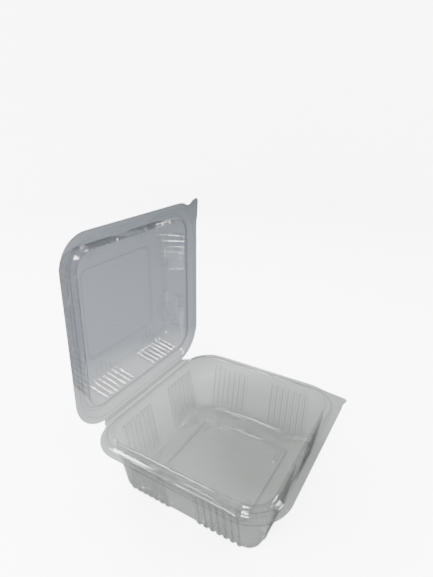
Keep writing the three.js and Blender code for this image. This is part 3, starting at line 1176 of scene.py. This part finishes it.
@dataclass
class Lid(Half):
    """The shallow upper half, open about the fold.

    Attributes:
        free_radius: Corner radius of the trimmed edge at the free corner without a tab.
        ring: Depth of the ring round the panel.
        panel: Depth of the panel.
        open_angle: How far the lid is open, in degrees.
        fold_gap: From the fold line to the lid's trimmed edge.
    """

    free_radius: float = 23.5
    ring: float = 24.0
    panel: float = 25.0
    open_angle: float = 89.0
    fold_gap: float = 0.3

    def _section(self) -> Section:
        """Flange, channel for the tub's bead, plug lip, wall and stepped panel.

        Returns:
            The section, whose depths grow away from the tub.
        """
        return Section(
            [
                Bend(0.0, 0.0, self.trim_radius, 0.0, 1.6),
                Bend(4.7, 0.0, 23.8, 0.5),
                Bend(6.8, 2.9, 21.7, 0.6),
                Bend(8.6, 4.5, 19.8, 0.6),
                Bend(11.0, 4.6, 17.2, 0.7),
                Bend(13.0, 1.0, 14.2, 0.5),
                Bend(14.1, 0.6, 13.2, 0.4),
                Bend(14.8, 2.0, 12.7, 0.4, 0.8),
                Bend(15.3, 5.4, 12.3, 0.0, 5.0),
                Bend(18.5, self.ring, 9.8, 3.4, 0.75),
                Bend(31.5, self.ring, 7.4, 0.0),
                Bend(36.2, self.ring, 7.0, 0.4),
                Bend(37.2, self.panel, 6.4, 0.4),
                Bend(38.2, self.panel, 6.0, 0.0),
            ]
        )

    def _tab(self) -> Array:
        """Outline of the opening tab, an ear that stands out of the side past a dip.

        Returns:
            Corners of the outline, from the side edge round the tip to the front edge.
        """
        right = self.width / 2
        front = -self.length / 2
        radius = self.tip_radius
        tip = (right + 2.5 - radius, front - 0.6 + radius)
        return np.concatenate(
            [
                [[right, front + self.trim_radius], [right + 0.2, front + 20.5], [right + 1.4, front + 15.5]],
                arc_points(tip, radius, 0.0, -100.0, 8),
                [[right - 6.3, front + 0.6], [right - 9.4, front + 3.0], [right - 12.0, front + 3.5]],
                [[right - 14.8, front + 2.8], [right - 18.0, front + 1.2], [right - 22.0, front + 0.3]],
                [[right - self.trim_radius, front]],
            ]
        )

    def _plain_corner(self) -> Array:
        """Outline of the free corner without a tab, tighter than the corners at the fold.

        Returns:
            Corners of the outline, from the side edge to the front edge.
        """
        left = -self.width / 2
        front = -self.length / 2
        radius = self.free_radius
        arc = arc_points((left + radius, front + radius), radius, 180.0, 270.0, 24)
        return np.concatenate([[[left, front + self.trim_radius]], arc, [[left + self.trim_radius, front]]])

    def build(self) -> bpy.types.Object:
        """Makes the lid's shell at its open angle and lets it ride on the lid body.

        Returns:
            The piece.
        """
        hinge = np.array(frame["joints"][0]["pos_m"], float)
        sheet = FormedSheet(
            width=self.width,
            length=self.length,
            thickness=self.thickness,
            section=self._section(),
            grooves=Grooves(floor_depth=0.8, top=2.4),
            outlines={Side.FRONT: self._tab(), Side.LEFT: self._plain_corner()},
            stacked=Side.LEFT,
            # Its groove sides take more painted shade than the tub's.
            groove_side_shade=0.5,
            flange=4.3,
            panel_rows=np.array([1.5, 5.0, 12.0, 20.0, 28.0]),
        )
        turn = math.radians(-self.open_angle)

        def place(points: Array) -> Array:
            """Turns the lid up about the fold line."""
            y = points[:, 1] - self.length / 2 - self.fold_gap
            z = points[:, 2]
            turned_y = y * math.cos(turn) - z * math.sin(turn)
            turned_z = y * math.sin(turn) + z * math.cos(turn)
            return np.stack([points[:, 0], turned_y, turned_z], axis=1) * MM + hinge

        shell = sheet.build("lid_shell", place, flip=True)
        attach(shell, "lid")
        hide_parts("lid")
        LOG.info("lid_shell: %d faces", len(shell.data.polygons))
        return shell

    def dress(self, shell: bpy.types.Object) -> None:
        """Gives the shell its clear sheet, faintly blue, and its cut edge."""
        # Its creases take a little less painted shade than the tub's.
        sheet = ThermoformedPet(
            "thermoformed_PET_lid", "14171b", crease_shade=0.45, grip_turn=(-90.0, 0.0, 45.0)
        )
        shell.data.materials[0] = sheet.material()
        shell.data.materials[1] = TrimmedEdge("die_cut_PET_lid", "0b0d10").material()


@dataclass
class LivingHinge:
    """The thin strip of the same sheet that bends along the fold.

    Attributes:
        half_width: Half its length along the fold.
        thickness: Its thickness, coined thinner than the sheet.
        overlap: How far it reaches on to the tub's strip and the lid's flange.
        radius: Radius of its bend.
        steps: Pieces that the bend is divided into.
        lengths: Pieces that the strip is divided into along the fold.
        beyond: From the fold line on to the middle of the strip's upright part.
        below: From the fold line down to the middle of its flat part.
        above: From the fold line up to the lid's flange.
        bend_from: Where the strip starts to follow the lid, along Y and Z from the fold line; not used.
        bend_to: Where it follows the lid fully; not used.
    """

    half_width: float = 51.0
    thickness: float = 0.3
    overlap: float = 0.5
    radius: float = 0.75
    steps: int = 14
    lengths: int = 40
    beyond: float = 0.2
    below: float = 1.0
    above: float = 0.3
    bend_from: tuple[float, float] = (-0.75, -0.8)
    bend_to: tuple[float, float] = (0.1, 0.35)

    def build(self) -> bpy.types.Object:
        """Makes the strip: a flat section that runs along the tub's strip, turns up in an arc
        and runs on along the lid's flange, drawn out along the fold.

        Returns:
            The piece, bending between the two bodies.
        """
        hinge = np.array(frame["joints"][0]["pos_m"], float) / MM
        y0, z0 = hinge[1], hinge[2]
        turn = np.radians(np.linspace(-90.0, 0.0, self.steps + 1))
        hub = np.array([y0 + self.beyond - self.radius, z0 - self.below + self.radius])
        arc = hub + self.radius * np.stack([np.cos(turn), np.sin(turn)], axis=1)
        tub_end = arc[0] + np.array([-self.overlap, 0.0])
        lid_end = np.array([y0 + self.beyond, z0 + self.above + self.overlap])
        line = np.concatenate([[tub_end], arc, [lid_end]])
        tangent = np.gradient(line, axis=0)
        tangent /= np.linalg.norm(tangent, axis=1, keepdims=True)
        normal = np.stack([-tangent[:, 1], tangent[:, 0]], axis=1)
        push = normal * self.thickness / 2
        loop = np.concatenate([line - push, (line + push)[::-1]])
        across = np.linspace(-self.half_width, self.half_width, self.lengths + 1)
        grid = np.empty((len(across), len(loop), 3))
        grid[..., 0] = across[:, None]
        grid[..., 1:] = loop
        rows, columns = grid.shape[:2]
        i = np.arange(len(line) - 1)
        last = np.stack([i, i + 1, columns - 2 - i, columns - 1 - i], axis=1)
        quads = [grid_faces(rows, columns), last[:, ::-1], last + (rows - 1) * columns]
        strip = mesh_object("fold_strip", grid.reshape(-1, 3) * MM, np.concatenate(quads))
        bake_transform(strip)
        LOG.info("fold_strip: %d faces", len(strip.data.polygons))
        return strip

    def dress(self, strip: bpy.types.Object) -> None:
        """Gives the strip the same clear sheet."""
        sheet = ThermoformedPet("thermoformed_PET_fold", "15181a", square_on=0.08, edge_on=0.5)
        strip.data.materials.append(sheet.material())


# ---- Studio ----


@dataclass(frozen=True)
class SoftBox:
    """A soft studio light.

    Attributes:
        name: Its name.
        place: Where it hangs, in metres.
        target: What it points at.
        size: Width and height, in metres.
        power: Power in watts.
    """

    name: str
    place: tuple[float, float, float]
    target: tuple[float, float, float]
    size: tuple[float, float]
    power: float

    def hang(self) -> None:
        """Adds the light to the scene."""
        data = bpy.data.lights.new(self.name, "AREA")
        data.shape = "RECTANGLE"
        data.size, data.size_y = self.size
        data.energy = self.power
        light = bpy.data.objects.new(self.name, data)
        bpy.context.scene.collection.objects.link(light)
        light.location = self.place
        aim = Vector(self.target) - Vector(self.place)
        light.rotation_euler = aim.to_track_quat("-Z", "Y").to_euler()


@dataclass
class Studio:
    """Pale sweep, soft lights and the camera of the photograph.

    Attributes:
        sweep_radius: Radius of the flat floor, in metres.
        sweep_rise: Radius of the curve from the floor to the upright backdrop.
        sweep_height: Height of the backdrop.
        sweep_sides: Pieces that the sweep is divided into round its middle.
        horizon_glow: Brightness of the air at the horizon.
        zenith_glow: Brightness of the air overhead.
        camera_mm: Place of the camera in the frame, in millimetres.
        heading: Direction of view in plan, degrees from +Y towards +X.
        dip: How far the camera looks down, in degrees.
        roll: Turn of the camera about its line of sight, in degrees.
        focal_px: Focal length in pixels of the photograph.
        centre_px: Where the line of sight meets the photograph.
        photo_px: Size of the photograph.
    """

    sweep_radius: float = 1.1
    sweep_rise: float = 0.6
    sweep_height: float = 1.9
    sweep_sides: int = 96
    horizon_glow: float = 0.25
    zenith_glow: float = 1.6
    camera_mm: tuple[float, float, float] = (-229.7, -129.2, 259.3)
    heading: float = 58.13
    dip: float = 21.0
    roll: float = -0.43
    focal_px: float = 423.9
    centre_px: tuple[float, float] = (207.95, 278.91)
    photo_px: tuple[int, int] = (433, 577)

    def floor(self) -> None:
        """Builds the sweep: a flat disc that curves up into a round wall, a profile turned
        about Z. Its paper is grey behind the clear sheets, with a painted shadow under the tub and
        painted light round it."""
        inmost, flat_rings, curve_rings = 0.02, 12, 12
        flat = np.linspace(inmost, self.sweep_radius, flat_rings)
        turn = np.linspace(0.0, np.pi / 2, curve_rings + 1)[1:]
        wall = self.sweep_radius + self.sweep_rise
        radius = np.concatenate([flat, self.sweep_radius + self.sweep_rise * np.sin(turn), [wall]])
        curve = self.sweep_rise * (1 - np.cos(turn))
        height = np.concatenate([np.zeros(len(flat)), curve, [self.sweep_height]])
        angle = np.linspace(0.0, 2 * np.pi, self.sweep_sides, endpoint=False)
        grid = np.empty((len(radius), len(angle), 3))
        grid[..., 0] = radius[:, None] * np.cos(angle)
        grid[..., 1] = radius[:, None] * np.sin(angle)
        grid[..., 2] = height[:, None]
        points = np.concatenate([grid.reshape(-1, 3), [[0.0, 0.0, 0.0]]])
        quads = grid_faces(len(radius), len(angle))[:, ::-1]
        fan = fan_faces(0, len(angle), len(points) - 1)
        made = mesh_object("studio_sweep", points, quads, fan)
        # Painted shadow under the tub and painted light round it, on the paper seen through the sheets;
        # bluish further off.
        painted_ground_light = (
            (0.035, "4e504e"),
            (0.07, "5a5c5b"),
            (0.1, "606261"),
            (0.125, "6a6c6b"),
            (0.19, "5c5e5f"),
            (0.24, "484b4f"),
        )
        made.data.materials.append(BackdropPaper("matt_backdrop_paper", "f6f6f5", painted_ground_light).material())
        made.visible_glossy = False

    def lights(self) -> None:
        """Hangs a small strong key and a fill, and two narrow strips that draw bright lines.

        The air is brighter overhead than at the horizon, so that the sheet's reflections have
        something to show.
        """
        centre = (0.0, 0.02, 0.08)
        boxes = [
            SoftBox("key_box", (-0.9, -0.2, 1.5), centre, (0.4, 0.4), 105.0),
            SoftBox("fill_box", (0.7, -1.2, 1.2), centre, (0.4, 0.4), 65.0),
            SoftBox("box_over", (0.15, 0.85, 1.45), centre, (0.14, 0.9), 65.0),
            SoftBox("box_side", (-1.25, 0.82, 0.75), centre, (0.9, 0.16), 90.0),
        ]
        for box in boxes:
            box.hang()
        world = bpy.data.worlds.new("studio_air")
        world.use_nodes = True
        tree = world.node_tree
        place = add_node(tree, "ShaderNodeTexCoord").outputs["Generated"]
        height = add_node(tree, "ShaderNodeSeparateXYZ", None, {"Vector": place}).outputs["Z"]
        glow = rescaled(tree, height, self.horizon_glow, self.zenith_glow)
        air = tree.nodes["Background"]
        air.inputs["Color"].default_value = linear_colour("dfe4ea")
        tree.links.new(glow, air.inputs["Strength"])
        bpy.context.scene.world = world

    def camera(self) -> None:
        """Sets up the camera of the photograph.

        The longer side of the picture is the sensor's 36 mm, and the shift puts the line of
        sight where it meets the photograph.
        """
        heading, dip, roll = (math.radians(a) for a in (self.heading, self.dip, self.roll))
        ahead = Vector((math.sin(heading) * math.cos(dip), math.cos(heading) * math.cos(dip), -math.sin(dip)))
        level = Vector((math.cos(heading), -math.sin(heading), 0.0))
        upright = level.cross(ahead)
        right = math.cos(roll) * level + math.sin(roll) * upright
        up = -math.sin(roll) * level + math.cos(roll) * upright
        axes = Matrix((right, up, -ahead)).transposed()
        data = bpy.data.cameras.new("photo_camera")
        long_side = max(self.photo_px)
        data.sensor_fit = "AUTO"
        data.sensor_width = 36.0
        data.lens = self.focal_px / long_side * data.sensor_width
        data.shift_x = (self.photo_px[0] / 2 - self.centre_px[0]) / long_side
        data.shift_y = (self.centre_px[1] - self.photo_px[1] / 2) / long_side
        data.clip_start = 0.01
        made = bpy.data.objects.new("photo_camera", data)
        bpy.context.scene.collection.objects.link(made)
        made.matrix_world = Matrix.Translation(Vector(self.camera_mm) * MM) @ axes.to_4x4()
        bpy.context.scene.camera = made


def main() -> None:
    """Builds the studio and the container, piece by piece."""
    logging.basicConfig(level=logging.INFO, format="%(name)s: %(message)s")
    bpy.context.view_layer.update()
    studio = Studio()
    studio.camera()
    studio.lights()
    studio.floor()
    for part in (Tub(), Lid(), LivingHinge()):
        part.dress(part.build())


if __name__ == "__main__":
    main()
